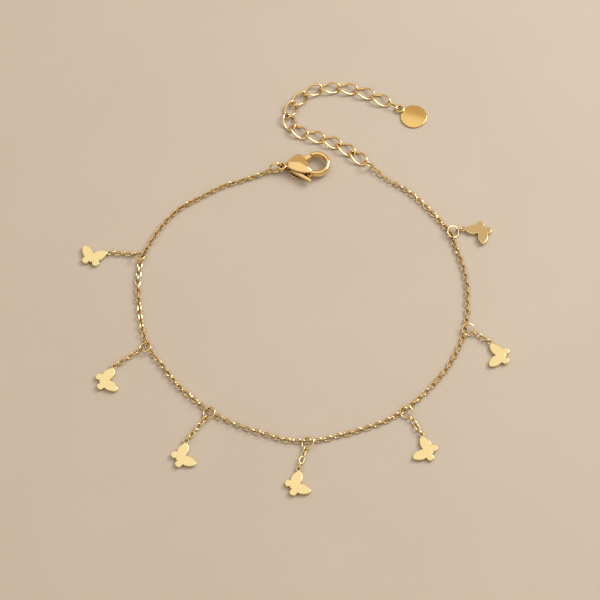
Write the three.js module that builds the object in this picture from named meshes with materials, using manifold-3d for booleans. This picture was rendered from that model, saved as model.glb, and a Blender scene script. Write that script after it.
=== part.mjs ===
// Charm anklet: a fine cable chain with seven butterfly charms on jump rings,
// a lobster clasp, and an extender of twisted curb links that ends in a round tag.
// It lies open on a flat surface. Millimetres, +Z up, the surface at z = 0.
import * as THREE from 'three';
import { ConvexGeometry } from 'three/addons/geometries/ConvexGeometry.js';
import { mergeVertices } from 'three/addons/utils/BufferGeometryUtils.js';
import Module from 'manifold-3d';

// Cable chain links, for the main chain and for the drops
const LINK = { length: 1.9, width: 1.32, wire: 0.31, steps: 10, sides: 5 };
const CHAIN_DIAMETER = 1.1;
const CHAIN_SIDES = 8;
const CHAIN_STEP = 2.7;
const WIRE_GAP = 0.04;
const LINK_FUSE = 0.06;
const EVEN_ROW_TURN = -60;
const STEEPEST_RING = 0.9;

// Jump rings
const DROP_RING = { diameter: 3.05, wire: 0.3, steps: 16, sides: 5 };
const CLASP_RING = { diameter: 3.15, wire: 0.45, steps: 16, sides: 6, tilt: 71, play: 0.125 };
const EXTENDER_RING = { diameter: 2.8, wire: 0.4, steps: 16, sides: 6, tilt: -45 };

// Extender of twisted curb links, and the link that carries the tag
const CURB = {
  length: 5.4, width: 3.25, wire: 0.47, twist: 45, steps: 14, sides: 6, play: 0.12,
};
const TAG_LINK = {
  length: 3.45, width: 1.92, wire: 0.34, steps: 14, sides: 6, roll: 50, lift: 0.03, play: 0.26,
};

// Round end tag with a soldered eyelet
const TAG = { diameter: 6.2, thickness: 0.5, bevel: 0.1, sides: 36 };
const TAG_EYELET = { diameter: 2.2, wire: 0.42, steps: 14, sides: 6 };

// Butterfly charm: distances from the notch between the forewings
const BUTTERFLY = {
  thickness: 0.85,
  edge: 0.1,
  tipOut: 2.85,
  tipForward: 1.15,
  waistOut: 1.72,
  waistBack: 1.39,
  lobeOut: 1.15,
  lobeBack: 2.15,
  lobeRadius: 0.85,
  lobeFrom: 46,
  lobeTo: -132,
  tailBack: 2.6,
  tailNotch: 2.3,
  tailHalf: 0.23,
  curveSteps: 4,
};
// Pulls on the forewing's front and rear edge, as shares of its tip's place
const WING_FRONT = [[0.14, 0.8], [0.62, 1.4]];
const WING_REAR = [[1.04, 0.3], [0.9, -0.73]];
const CHARM_EYELET = { diameter: 1.35, wire: 0.33, steps: 10, sides: 5, height: 0.65 };

// Lobster clasp, measured from the centre of its hook along its own axis
const CLASP = {
  thickness: 3.0,
  heading: 5.1,
  hookRadius: 3.25,
  hookHole: 2.0,
  hookHeight: 2.0,
  hookTip: 115,
  hookHeel: -150,
  hookSteps: 22,
  mouthSides: 28,
  bodyWidth: 6.1,
  bodyFrom: 7.3,
  bodyWidest: 3.9,
  bodyRound: 0.85,
  bodyLevels: 6,
  curveSteps: 6,
  eyeletFrom: 8.15,
  eyeletDiameter: 1.9,
  eyeletHole: 1.2,
  eyeletHeight: 1.1,
  eyeletSides: 16,
};
// The clasp body's outline in plan, as shares of its reach from the hook's centre and
// of its half width: it starts at the eyelet, goes round by the mouth and comes back.
// Each row is one curve: the points that pull it, then its end.
const CLASP_NECK = [-1, 0.28];
const CLASP_OUTLINE = [
  [[-0.9, 0.75], [-0.7, 1], [-0.53, 1]],
  [[-0.4, 1], [-0.32, 0.45]],
  [[-0.24, 0]],
  [[-0.15, -0.72]],
  [[-0.36, -1], [-0.53, -1]],
  [[-0.7, -1], [-0.9, -0.75], [-1, -0.28]],
];
const LEVER = {
  thickness: 0.9,
  pivotFrom: 5.3,
  pivotSide: 0.5,
  hub: 0.95,
  hubSides: 16,
  arm: 1.05,
  kneeOut: 1.9,
  tabOut: 4.2,
  tabFrom: 2.0,
  tabTaper: 0.8,
  tipGap: 3,
  gateInset: 0.25,
  opening: 22,
  gap: 0.1,
};
// Corners of a bar's blunt end, as shares of its half width
const BAR_END = { side: 0.95, nose: 0.4 };
const RIVET = { diameter: 0.8, gap: 0.06, inset: 0.02, sides: 12 };

// Where the clasp lies, and the way that its jump ring and the chain leave it
const HOOK_PLACE = [3.9, 35.05];
const CLASP_RING_HEADING = 190;
const CHAIN_LEAVES_RING = 24;
const CHAIN_START_HEADING = 199;
const CHAIN_END_HEADING = 140;

// The chain's route on the surface, from the clasp round to the extender
const CHAIN_ROUTE = [
  [-12.1, 31.7], [-16.7, 30.1], [-20.4, 28.2], [-23.6, 26.3], [-27.3, 24.0], [-30.2, 21.1],
  [-32.8, 17.4], [-34.7, 13.8], [-36.1, 10.9], [-36.8, 6.9], [-36.8, 2.3], [-36.3, -2.9],
  [-35.5, -8.0], [-34.0, -12.4], [-31.3, -16.3], [-27.9, -20.9], [-24.4, -24.5],
  [-19.5, -28.5], [-15.5, -30.7], [-11.0, -32.6], [-7.1, -33.9], [-2.6, -35.2], [1.3, -35.4],
  [4.8, -35.1], [9.3, -33.9], [13.7, -32.6], [17.7, -31.1], [21.7, -28.9], [24.4, -26.9],
  [28.5, -23.0], [31.2, -19.8], [33.6, -16.3], [35.7, -12.3], [37.0, -8.8], [37.7, -4.9],
  [38.0, 0.2], [37.9, 4.8], [36.8, 10.0], [35.3, 14.6], [34.75, 16.8], [32.6, 20.0],
  [30.0, 23.2], [27.3, 26.2], [24.2, 29.0], [20.5, 31.4],
];

// The extender's route: where its first link lies, and every link's place from there
// outwards as shares of a link's length
const EXTENDER_START = [13.6, 37.35];
const EXTENDER_ROUTE = [
  [0, 0], [-0.524, 0.431], [-1.15, 0.787], [-1.87, 1.065], [-2.56, 1.31], [-2.976, 1.809],
  [-2.913, 2.428], [-2.556, 2.954], [-1.963, 3.417], [-1.2, 3.565], [-0.426, 3.528],
  [0.324, 3.306], [1.028, 2.954],
];
const TAG_HEADING = -31;

// Drops: place along the chain (share of its length), the ring's reach outwards
// (share of its radius), the side of the ring that the drop hangs from, the drop's own
// heading, its number of links, their spacing (share of a link's length), the charm's
// heading, and the forewing that it hangs from (1 right, -1 left). Headings in degrees.
const DROPS = [
  { at: 0.188, reach: 0.53, leave: 150, heading: 175.5, links: 5, spacing: 0.61, charm: 343, wing: 1 },
  { at: 0.302, reach: 0.53, leave: 198, heading: 216, links: 6, spacing: 0.62, charm: 279, wing: -1 },
  { at: 0.408, reach: 0.45, leave: 232, heading: 233, links: 6, spacing: 0.62, charm: 293, wing: -1 },
  { at: 0.520, reach: 0.50, leave: 246, heading: 253, links: 4, spacing: 0.68, charm: 296, wing: -1 },
  { at: 0.632, reach: 0.53, leave: 305, heading: 300, links: 4, spacing: 0.68, charm: 69, wing: 1 },
  { at: 0.754, reach: 0.53, leave: 330, heading: 327, links: 4, spacing: 0.58, charm: 86, wing: 1 },
  { at: 0.878, reach: 0.53, leave: 24, heading: 15, links: 1, spacing: 0.68, charm: 137, wing: 1 },
];

const GOLD = { color: 0xd9b25f, roughness: 0.25, metalness: 1.0 };
const PALE_GOLD = { color: 0xe8cd84, roughness: 0.3, metalness: 1.0 };

const UP = new THREE.Vector3(0, 0, 1);
const WELD = 1e-4;
const SHORTEST_EDGE = 0.02;
const TURN_STEPS = 90;
const wasm = await Module();
wasm.setup();

// Small vector helpers
const vec = (x, y, z = 0) => new THREE.Vector3(x, y, z);
const toward = (degrees) => {
  const angle = THREE.MathUtils.degToRad(degrees);
  return vec(Math.cos(angle), Math.sin(angle));
};
const along = (start, direction, distance) => start.clone().addScaledVector(direction, distance);
const mix = (a, b, share) => a.clone().lerp(b, share);

// Solids for joining and cutting
function toSolid(geometry) {
  const bare = new THREE.BufferGeometry();
  bare.setAttribute('position', geometry.attributes.position);
  bare.setIndex(geometry.index);
  const merged = mergeVertices(bare, WELD);
  return new wasm.Manifold(new wasm.Mesh({
    numProp: 3,
    vertProperties: new Float32Array(merged.attributes.position.array),
    triVerts: new Uint32Array(merged.index.array),
  }));
}

function toGeometry(solid) {
  const mesh = solid.getMesh();
  const geometry = new THREE.BufferGeometry();
  geometry.setAttribute('position', new THREE.BufferAttribute(mesh.vertProperties, 3));
  geometry.setIndex(new THREE.BufferAttribute(mesh.triVerts, 1));
  geometry.computeVertexNormals();
  return geometry;
}

// A shape's outline as points, without the doubled points where its curves meet
function cleanShape(shape, divisions) {
  const points = shape.getPoints(divisions);
  const next = (k) => points[(k + 1) % points.length];
  return new THREE.Shape(points.filter((p, k) => p.distanceTo(next(k)) > SHORTEST_EDGE));
}

const joined = (geometries) => geometries.map(toSolid).reduce((a, b) => a.add(b));

// Turn and move a geometry: its x axis to `long`, its z axis to about `hole`
function placed(geometry, centre, long, hole) {
  const x = long.clone().normalize();
  const z = hole.clone().addScaledVector(x, -hole.dot(x)).normalize();
  const y = z.clone().cross(x);
  return geometry.applyMatrix4(new THREE.Matrix4().makeBasis(x, y, z).setPosition(centre));
}

// A closed loop of round wire: a torus whose centre line is bent to line(turn)
function wireLoop(line, { wire, steps, sides }) {
  const geometry = new THREE.TorusGeometry(1, wire / 2, sides, steps);
  const position = geometry.attributes.position;
  const delta = 1e-3;
  for (let j = 0; j <= sides; j += 1) {
    for (let i = 0; i <= steps; i += 1) {
      const turn = (2 * Math.PI * (i % steps)) / steps;
      const point = line(turn);
      const tangent = line(turn + delta).sub(line(turn - delta)).normalize();
      const rise = tangent.clone().cross(point).normalize().negate();
      const out = tangent.clone().cross(rise);
      const around = (2 * Math.PI * (j % sides)) / sides;
      point.addScaledVector(out, Math.cos(around) * (wire / 2));
      point.addScaledVector(rise, Math.sin(around) * (wire / 2));
      position.setXYZ(j * (steps + 1) + i, point.x, point.y, point.z);
    }
  }
  return geometry;
}

const roundLoop = (size) => {
  const radius = (size.diameter - size.wire) / 2;
  return wireLoop((t) => vec(radius * Math.cos(t), radius * Math.sin(t)), size);
};

const ovalLoop = (size) => {
  const a = (size.length - size.wire) / 2;
  const b = (size.width - size.wire) / 2;
  return wireLoop((t) => vec(a * Math.cos(t), b * Math.sin(t)), size);
};

// A curb link: an oval whose two ends are twisted opposite ways
const curbLoop = (size) => {
  const a = (size.length - size.wire) / 2;
  const b = (size.width - size.wire) / 2;
  const twist = THREE.MathUtils.degToRad(size.twist);
  return wireLoop((t) => {
    const side = b * Math.sin(t);
    const roll = twist * Math.cos(t);
    return vec(a * Math.cos(t), side * Math.cos(roll), side * Math.sin(roll));
  }, size);
};

// Distance from a link's middle to a wire that pulls at its end
const holdOf = (link, wire) => link.length / 2 - link.wire - wire / 2 - WIRE_GAP;

// A ring's place: its centre, the two directions it lies in, and points of its wire
function ringFrame(centre, u, v, size) {
  const radius = (size.diameter - size.wire) / 2;
  const pointAt = (angle) => centre.clone()
    .addScaledVector(u, radius * Math.cos(angle))
    .addScaledVector(v, radius * Math.sin(angle));
  const wireAt = (angle) => u.clone().multiplyScalar(-Math.sin(angle))
    .addScaledVector(v, Math.cos(angle));
  return { centre, u, v, radius, pointAt, wireAt };
}

const ringSolid = (frame, size) => placed(
  roundLoop(size), frame.centre, frame.u, frame.u.clone().cross(frame.v));

// Clasp: places in its own plan, x along the clasp towards the hook
const claspPlan = (x, y) => {
  const axis = toward(CLASP.heading);
  const side = toward(CLASP.heading + 90);
  return vec(HOOK_PLACE[0], HOOK_PLACE[1]).addScaledVector(axis, x).addScaledVector(side, y);
};

function toClaspPlace(geometry) {
  const middle = vec(HOOK_PLACE[0], HOOK_PLACE[1], CLASP.thickness / 2);
  return placed(geometry, middle, toward(CLASP.heading), UP);
}

class ArcLine extends THREE.Curve {
  constructor(radius, from, to) {
    super();
    this.radius = radius;
    this.from = from;
    this.to = to;
  }

  getPoint(share, target = new THREE.Vector3()) {
    const angle = THREE.MathUtils.lerp(this.from, this.to, share);
    return target.set(Math.cos(angle), Math.sin(angle), 0).multiplyScalar(this.radius);
  }
}

// The hook: a rounded bar bent round the clasp's mouth
function claspHook() {
  const half = [CLASP.hookHeight / 2, (CLASP.hookRadius - CLASP.hookHole) / 2];
  const section = new THREE.Shape();
  section.absellipse(0, 0, half[0], half[1], 0, 2 * Math.PI, false, 0);
  const outline = new THREE.Shape(section.getPoints(CLASP.curveSteps).slice(0, -1));
  const from = THREE.MathUtils.degToRad(CLASP.hookTip);
  const to = THREE.MathUtils.degToRad(CLASP.hookHeel);
  const line = new ArcLine((CLASP.hookRadius + CLASP.hookHole) / 2, from, to);
  return new THREE.ExtrudeGeometry(outline, { steps: CLASP.hookSteps, extrudePath: line });
}

// The body: a domed drop shape that widens from the eyelet to the mouth
function claspDrop() {
  const placeOf = ([x, y]) => [x * CLASP.bodyFrom, (y * CLASP.bodyWidth) / 2];
  const shape = new THREE.Shape();
  shape.moveTo(...placeOf(CLASP_NECK));
  for (const curve of CLASP_OUTLINE) {
    const values = curve.flatMap(placeOf);
    if (curve.length === 3) shape.bezierCurveTo(...values);
    else if (curve.length === 2) shape.quadraticCurveTo(...values);
    else shape.lineTo(...values);
  }
  return domed(cleanShape(shape, CLASP.curveSteps), CLASP.thickness, CLASP.bodyRound);
}

// A thick plate whose outline draws in towards its top and bottom face by `inset`
function domed(shape, height, inset) {
  const settings = { depth: height, steps: CLASP.bodyLevels, bevelEnabled: false };
  const geometry = new THREE.ExtrudeGeometry(shape, settings).translate(0, 0, -height / 2);
  const position = geometry.attributes.position;
  const middle = -CLASP.bodyWidest;
  for (let k = 0; k < position.count; k += 1) {
    const level = (2 * position.getZ(k)) / height;
    const share = 1 - ((2 * inset) / CLASP.bodyWidth) * Math.abs(level) ** 3;
    position.setX(k, middle + (position.getX(k) - middle) * share);
    position.setY(k, position.getY(k) * share);
  }
  return geometry;
}

function claspEyelet() {
  const outer = CLASP.eyeletDiameter / 2;
  const inner = CLASP.eyeletHole / 2;
  const half = CLASP.eyeletHeight / 2;
  const profile = [
    new THREE.Vector2(inner, -half), new THREE.Vector2(outer, -half),
    new THREE.Vector2(outer, half), new THREE.Vector2(inner, half),
    new THREE.Vector2(inner, -half),
  ];
  const tube = new THREE.LatheGeometry(profile, CLASP.eyeletSides).rotateX(Math.PI / 2);
  return tube.translate(-CLASP.eyeletFrom, 0, 0);
}

function cylinderAt(radius, height, x, y, sides) {
  return new THREE.CylinderGeometry(radius, radius, height, sides)
    .rotateX(Math.PI / 2).translate(x, y, 0);
}

// The lever's two arms in plan: the gate, which fills the clasp's mouth up to the
// hook's tip, and the thumb arm with its knee and tab. `grow` widens them all round.
function leverArms(grow) {
  const hub = vec(-LEVER.pivotFrom, LEVER.pivotSide);
  const grownTurn = THREE.MathUtils.radToDeg(grow / CLASP.hookRadius);
  const mouth = toward(CLASP.hookTip + LEVER.tipGap - grownTurn);
  const outer = mouth.clone().multiplyScalar(CLASP.hookRadius - LEVER.gateInset);
  const inner = mouth.clone().multiplyScalar(CLASP.hookHole + LEVER.gateInset / 2);
  const gate = [
    vec(hub.x, hub.y + LEVER.hub + grow),
    vec(outer.x, outer.y + grow),
    vec(inner.x + grow, inner.y - grow),
    vec(hub.x, hub.y - LEVER.hub - grow),
  ];
  const knee = vec(-CLASP.bodyWidest - LEVER.arm / 2, -LEVER.kneeOut);
  const tab = vec(-LEVER.tabFrom, -LEVER.tabOut);
  const half = LEVER.arm / 2 + grow;
  const tip = half * LEVER.tabTaper;
  return [gate, barCorners(hub, knee, half, half), barCorners(knee, tab, half, tip)];
}

// The corners of a straight bar between two points, with blunt ends
function barCorners(start, end, startHalf, endHalf) {
  const ahead = end.clone().sub(start).normalize();
  const side = UP.clone().cross(ahead);
  const ends = [[start, startHalf, -1], [end, endHalf, 1]];
  return ends.flatMap(([point, half, way]) => {
    const nose = along(point, ahead, half * way);
    return [
      along(point, side, half * BAR_END.side),
      along(nose, side, half * BAR_END.nose),
      along(nose, side, -half * BAR_END.nose),
      along(point, side, -half * BAR_END.side),
    ];
  });
}

// A convex plate of the given thickness round some points in plan
function convexPlate(points, thickness) {
  const half = thickness / 2;
  const levels = [half, -half].flatMap((z) => points.map((p) => vec(p.x, p.y, z)));
  return mergeVertices(new ConvexGeometry(levels).deleteAttribute('normal'), WELD);
}

function leverSolid() {
  const pivot = [-LEVER.pivotFrom, LEVER.pivotSide];
  const hub = cylinderAt(LEVER.hub, LEVER.thickness, ...pivot, LEVER.hubSides);
  return joined([hub, ...leverArms(0).map((arm) => convexPlate(arm, LEVER.thickness))]);
}

// The room that the lever sweeps through as it opens, with its clearance
function leverRoom() {
  const hub = vec(-LEVER.pivotFrom, LEVER.pivotSide);
  const height = LEVER.thickness + 2 * LEVER.gap;
  const turns = [0, 0.5, 1].map((share) => THREE.MathUtils.degToRad(-LEVER.opening * share));
  const turned = (point, turn) => point.clone().sub(hub).applyAxisAngle(UP, turn).add(hub);
  const swept = leverArms(LEVER.gap).map((arm) => convexPlate(
    turns.flatMap((turn) => arm.map((point) => turned(point, turn))), height));
  const round = cylinderAt(LEVER.hub + LEVER.gap, height, hub.x, hub.y, LEVER.hubSides);
  return joined([round, ...swept]);
}

function claspPieces() {
  const pivot = [-LEVER.pivotFrom, LEVER.pivotSide];
  const through = 2 * CLASP.thickness;
  const boreRadius = RIVET.diameter / 2 + RIVET.gap;
  const rivetHeight = CLASP.thickness - 2 * RIVET.inset;
  const eyelet = [CLASP.eyeletHole / 2, through, -CLASP.eyeletFrom, 0, CLASP.eyeletSides];
  const mouth = toSolid(cylinderAt(CLASP.hookHole, through, 0, 0, CLASP.mouthSides));
  const bore = toSolid(cylinderAt(boreRadius, through, ...pivot, RIVET.sides));
  const eyeletBore = toSolid(cylinderAt(...eyelet));
  const body = toSolid(claspDrop()).subtract(mouth)
    .add(toSolid(claspHook()))
    .subtract(eyeletBore)
    .add(toSolid(claspEyelet()))
    .subtract(leverRoom())
    .subtract(bore);
  const lever = leverSolid().subtract(bore);
  const rivet = cylinderAt(RIVET.diameter / 2, rivetHeight, ...pivot, RIVET.sides);
  return {
    body: toClaspPlace(toGeometry(body)),
    lever: toClaspPlace(toGeometry(lever)),
    rivet: toClaspPlace(rivet),
  };
}

// The clasp's jump ring stands through the eyelet and leans on the surface
function claspRingFrame() {
  const out = toward(CLASP_RING_HEADING);
  const side = out.clone().cross(UP);
  const tilt = THREE.MathUtils.degToRad(CLASP_RING.tilt);
  const rise = side.clone().multiplyScalar(-Math.cos(tilt)).addScaledVector(UP, -Math.sin(tilt));
  const radius = (CLASP_RING.diameter - CLASP_RING.wire) / 2;
  const eyelet = claspPlan(-CLASP.eyeletFrom, 0).setZ(CLASP.thickness / 2);
  const centre = along(eyelet, out, radius + CLASP_RING.play);
  return ringFrame(centre, out, rise, CLASP_RING);
}

// A cable link at the end of a ring: its hole faces the ring's wire
function linkOn(ring, angle, heading, wire) {
  const start = ring.pointAt(angle);
  const centre = along(start, heading, holdOf(LINK, wire) - 2 * WIRE_GAP);
  const solid = placed(ovalLoop(LINK), centre, heading, ring.wireAt(angle));
  return { centre, solid };
}

// How far a curb link's twisted wire rises above the link's middle
function curbRise(size) {
  const half = (size.width - size.wire) / 2;
  const twist = THREE.MathUtils.degToRad(size.twist);
  const turns = Array.from({ length: TURN_STEPS }, (_, k) => (Math.PI / 2) * (k / TURN_STEPS));
  return half * Math.max(...turns.map((t) => Math.sin(t) * Math.sin(twist * Math.cos(t))));
}

// The curb links lie on the surface, and the first decides where its jump ring lies
function curbCentres() {
  const start = vec(...EXTENDER_START, curbRise(CURB) + CURB.wire / 2);
  return EXTENDER_ROUTE.map(([x, y]) => along(start, vec(x, y), CURB.length));
}

function curbHeading(centres, k) {
  const last = centres.length - 1;
  const before = centres[Math.max(k - 1, 0)];
  const after = centres[Math.min(k + 1, last)];
  return after.clone().sub(before).normalize();
}

function extenderRingFrame(centres) {
  const out = curbHeading(centres, 0).negate();
  const side = UP.clone().cross(out);
  const tilt = THREE.MathUtils.degToRad(EXTENDER_RING.tilt);
  const lean = side.clone().multiplyScalar(Math.cos(tilt)).addScaledVector(UP, Math.sin(tilt));
  const radius = (EXTENDER_RING.diameter - EXTENDER_RING.wire) / 2;
  const hold = holdOf(CURB, EXTENDER_RING.wire) - CURB.play;
  const centre = along(centres[0], out, hold + radius);
  centre.z = radius * Math.sin(Math.abs(tilt)) + EXTENDER_RING.wire / 2;
  return ringFrame(centre, out, lean, EXTENDER_RING);
}

// The chain between its two end links, lifted a little where they leave the rings
function chainCurve(start, end) {
  const rest = LINK.width / 2;
  const points = CHAIN_ROUTE.map(([x, y]) => vec(x, y, rest));
  const line = new THREE.CatmullRomCurve3([start, ...points, end], false, 'centripetal');
  line.arcLengthDivisions = 2000;
  return line;
}

// How a drop's ring lies: through one link of the chain, over the chain beside it
function dropRingFrame(line, drop) {
  const radius = (DROP_RING.diameter - DROP_RING.wire) / 2;
  const reach = radius * drop.reach;
  const halfChord = Math.sqrt(radius * radius - reach * reach);
  const length = line.getLength();
  const threadedAt = drop.at - halfChord / length;
  const crossedAt = drop.at + halfChord / length;
  const threaded = line.getPointAt(threadedAt);
  const crossed = line.getPointAt(crossedAt);
  crossed.z = LINK.width + DROP_RING.wire / 2 + WIRE_GAP;
  const u = crossed.clone().sub(threaded).normalize();
  const middle = mix(threaded, crossed, 0.5);
  const tangent = line.getTangentAt(drop.at);
  const outward = tangent.clone().cross(UP).normalize();
  const lowest = LINK.width / 2;
  const leave = toward(drop.leave);
  const lean = Math.atan2(leave.dot(tangent), leave.dot(outward));
  const fall = (lowest - middle.z - radius * u.z * Math.sin(lean))
    / (reach + radius * Math.cos(lean));
  const level = outward.clone().addScaledVector(u, -outward.dot(u)).normalize();
  const upright = u.clone().cross(level);
  if (upright.z < 0) upright.negate();
  const slope = THREE.MathUtils.clamp(fall / upright.z, -STEEPEST_RING, STEEPEST_RING);
  const pitch = Math.asin(slope);
  const v = level.multiplyScalar(Math.cos(pitch)).addScaledVector(upright, Math.sin(pitch));
  const centre = along(middle, v, reach);
  const frame = ringFrame(centre, u, v, DROP_RING);
  const threadedAngle = Math.atan2(-reach, -halfChord);
  const leaveAngle = Math.PI / 2 - lean;
  return { ...frame, threaded, threadedAt, threadedAngle, leaveAngle };
}

// Cable links in a row from the ring to the charm's eyelet, each turned against the
// next. The last stands upright, and an even row turns on a little so the first does too.
function dropChain(ring, drop) {
  const heading = toward(drop.heading);
  const pitch = LINK.length * drop.spacing;
  const size = { ...LINK, length: pitch + 2 * LINK.wire - LINK_FUSE };
  const first = holdOf(size, DROP_RING.wire) - 2 * WIRE_GAP;
  const start = ring.pointAt(ring.leaveAngle);
  const last = drop.links - 1;
  const drift = drop.links % 2 === 0 ? EVEN_ROW_TURN / last : 0;
  const half = (LINK.width - LINK.wire) / 2;
  const links = [];
  for (let k = 0; k < drop.links; k += 1) {
    const roll = THREE.MathUtils.degToRad(((last - k) % 2) * 90 + drift * (last - k));
    const side = UP.clone().cross(heading);
    const hole = side.multiplyScalar(Math.cos(roll)).addScaledVector(UP, Math.sin(roll));
    const rest = half * Math.abs(Math.cos(roll)) + LINK.wire / 2 + WIRE_GAP;
    const height = Math.max(rest, CHARM_EYELET.height - WIRE_GAP);
    const centre = along(start, heading, first + k * pitch).setZ(height);
    links.push(placed(ovalLoop(size), centre, heading, hole));
  }
  const reach = first + last * pitch + holdOf(size, CHARM_EYELET.wire) - WIRE_GAP;
  const eyeletWire = along(start, heading, reach).setZ(CHARM_EYELET.height);
  return { links, eyeletWire, heading };
}

// Half of the butterfly's outline, from the front notch round to the tail
function wingOutline() {
  const b = BUTTERFLY;
  const pulls = (rows) => rows.flatMap(([x, y]) => [x * b.tipOut, y * b.tipForward]);
  const lobe = [b.lobeFrom, b.lobeTo].map(THREE.MathUtils.degToRad);
  const shape = new THREE.Shape();
  shape.moveTo(0, 0);
  shape.bezierCurveTo(...pulls(WING_FRONT), b.tipOut, b.tipForward);
  shape.bezierCurveTo(...pulls(WING_REAR), b.waistOut, -b.waistBack);
  shape.absarc(b.lobeOut, -b.lobeBack, b.lobeRadius, ...lobe, true);
  shape.lineTo(b.tailHalf, -b.tailNotch);
  return shape.getPoints(b.curveSteps);
}

function butterflyPlate() {
  const right = wingOutline();
  const left = right.slice(1).map((p) => new THREE.Vector2(-p.x, p.y)).reverse();
  const tail = new THREE.Vector2(0, -BUTTERFLY.tailBack);
  const shape = new THREE.Shape([...right, tail, ...left]);
  const depth = BUTTERFLY.thickness - 2 * BUTTERFLY.edge;
  const settings = {
    depth, steps: 1, bevelEnabled: true, bevelThickness: BUTTERFLY.edge,
    bevelSize: BUTTERFLY.edge, bevelOffset: -BUTTERFLY.edge, bevelSegments: 1,
  };
  return new THREE.ExtrudeGeometry(shape, settings).translate(0, 0, BUTTERFLY.edge);
}

// The charm hangs from the eyelet that is soldered to one forewing tip
function butterflySolid(drop, eyeletWire, heading) {
  const tip = vec(drop.wing * BUTTERFLY.tipOut, BUTTERFLY.tipForward);
  const outward = tip.clone().normalize();
  const ring = (CHARM_EYELET.diameter - CHARM_EYELET.wire) / 2;
  const eyelet = along(tip, outward, ring).setZ(CHARM_EYELET.height);
  const turn = new THREE.Matrix4().makeRotationZ(THREE.MathUtils.degToRad(drop.charm));
  const loop = roundLoop(CHARM_EYELET).translate(eyelet.x, eyelet.y, eyelet.z);
  const solid = joined([butterflyPlate(), loop]);
  const centre = along(eyeletWire, heading, ring);
  const shift = centre.sub(eyelet.clone().applyMatrix4(turn)).setZ(0);
  return toGeometry(solid).applyMatrix4(turn).translate(shift.x, shift.y, 0);
}

// One stretch of the chain between two of its real links, as a plain round tube
function chainTube(line, from, to) {
  const length = (to - from) * line.getLength();
  const steps = Math.max(2, Math.round(length / CHAIN_STEP));
  const points = [];
  for (let k = 0; k <= steps; k += 1) {
    points.push(line.getPointAt(from + ((to - from) * k) / steps));
  }
  const section = new THREE.Shape();
  for (let k = 0; k < CHAIN_SIDES; k += 1) {
    const angle = (2 * Math.PI * (k + 0.5)) / CHAIN_SIDES;
    const x = (Math.cos(angle) * CHAIN_DIAMETER) / 2;
    const y = (Math.sin(angle) * CHAIN_DIAMETER) / 2;
    if (k === 0) section.moveTo(x, y);
    else section.lineTo(x, y);
  }
  section.closePath();
  const path = new THREE.CatmullRomCurve3(points);
  return new THREE.ExtrudeGeometry(section, { steps, extrudePath: path });
}

function mainChain(line, rings, startLink, endLink) {
  const length = line.getLength();
  const inset = (LINK.length / 2 - LINK.wire / 2) / length;
  const solids = [startLink.solid, endLink.solid];
  let from = inset;
  for (const ring of rings) {
    solids.push(chainTube(line, from, ring.threadedAt - inset));
    const tangent = line.getTangentAt(ring.threadedAt);
    const hole = ring.wireAt(ring.threadedAngle);
    solids.push(placed(ovalLoop(LINK), ring.threaded.clone(), tangent, hole));
    from = ring.threadedAt + inset;
  }
  solids.push(chainTube(line, from, 1 - inset));
  return toGeometry(joined(solids));
}

// The tag and its eyelet lie flat; the tag link stands between it and the extender
function tagPieces(centres) {
  const last = centres[centres.length - 1];
  const heading = toward(TAG_HEADING);
  const eyeletRadius = (TAG_EYELET.diameter - TAG_EYELET.wire) / 2;
  const curbWire = along(last, curbHeading(centres, centres.length - 1),
    (CURB.length - CURB.wire) / 2);
  const hold = holdOf(TAG_LINK, CURB.wire) - TAG_LINK.play;
  const span = hold + holdOf(TAG_LINK, TAG_EYELET.wire) - TAG_LINK.play;
  const eyeletHeight = TAG_LINK.wire + TAG_EYELET.wire / 2 + TAG_LINK.lift;
  const drop = curbWire.z - eyeletHeight;
  const level = Math.sqrt(span * span - drop * drop);
  const eyeletWire = along(curbWire, heading, level).setZ(eyeletHeight);
  const direction = eyeletWire.clone().sub(curbWire).normalize();
  const linkCentre = along(curbWire, direction, hold).add(vec(0, 0, TAG_LINK.lift));
  const roll = THREE.MathUtils.degToRad(TAG_LINK.roll);
  const side = UP.clone().cross(heading);
  const hole = side.multiplyScalar(Math.cos(roll)).addScaledVector(UP, Math.sin(roll));
  const link = placed(ovalLoop(TAG_LINK), linkCentre, direction, hole);

  const eyelet = along(eyeletWire, heading, eyeletRadius);
  const reach = TAG.diameter / 2 + TAG_EYELET.diameter / 2 - TAG_EYELET.wire;
  const centre = along(eyelet, heading, reach).setZ(TAG.thickness / 2);
  const radius = TAG.diameter / 2;
  const half = TAG.thickness / 2;
  const profile = [
    new THREE.Vector2(0, -half), new THREE.Vector2(radius - TAG.bevel, -half),
    new THREE.Vector2(radius, -half + TAG.bevel), new THREE.Vector2(radius, half - TAG.bevel),
    new THREE.Vector2(radius - TAG.bevel, half), new THREE.Vector2(0, half),
  ];
  const disc = new THREE.LatheGeometry(profile, TAG.sides).rotateX(Math.PI / 2)
    .translate(centre.x, centre.y, centre.z);
  const loop = placed(roundLoop(TAG_EYELET), eyelet, heading, UP);
  return { link, tag: toGeometry(joined([disc, loop])) };
}

// Assembly
const anklet = new THREE.Group();

function add(name, geometry, finish = GOLD) {
  const mesh = new THREE.Mesh(geometry, new THREE.MeshStandardMaterial(finish));
  mesh.name = name;
  anklet.add(mesh);
}

const clasp = claspPieces();
add('clasp_body', clasp.body);
add('clasp_lever', clasp.lever);
add('clasp_rivet', clasp.rivet);

const claspRing = claspRingFrame();
add('clasp_ring', ringSolid(claspRing, CLASP_RING));
const startLink = linkOn(claspRing, THREE.MathUtils.degToRad(CHAIN_LEAVES_RING),
  toward(CHAIN_START_HEADING), CLASP_RING.wire);

const curbs = curbCentres();
const extenderRing = extenderRingFrame(curbs);
add('extender_ring', ringSolid(extenderRing, EXTENDER_RING));
const endLink = linkOn(extenderRing, 0, toward(CHAIN_END_HEADING + 180), EXTENDER_RING.wire);

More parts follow.
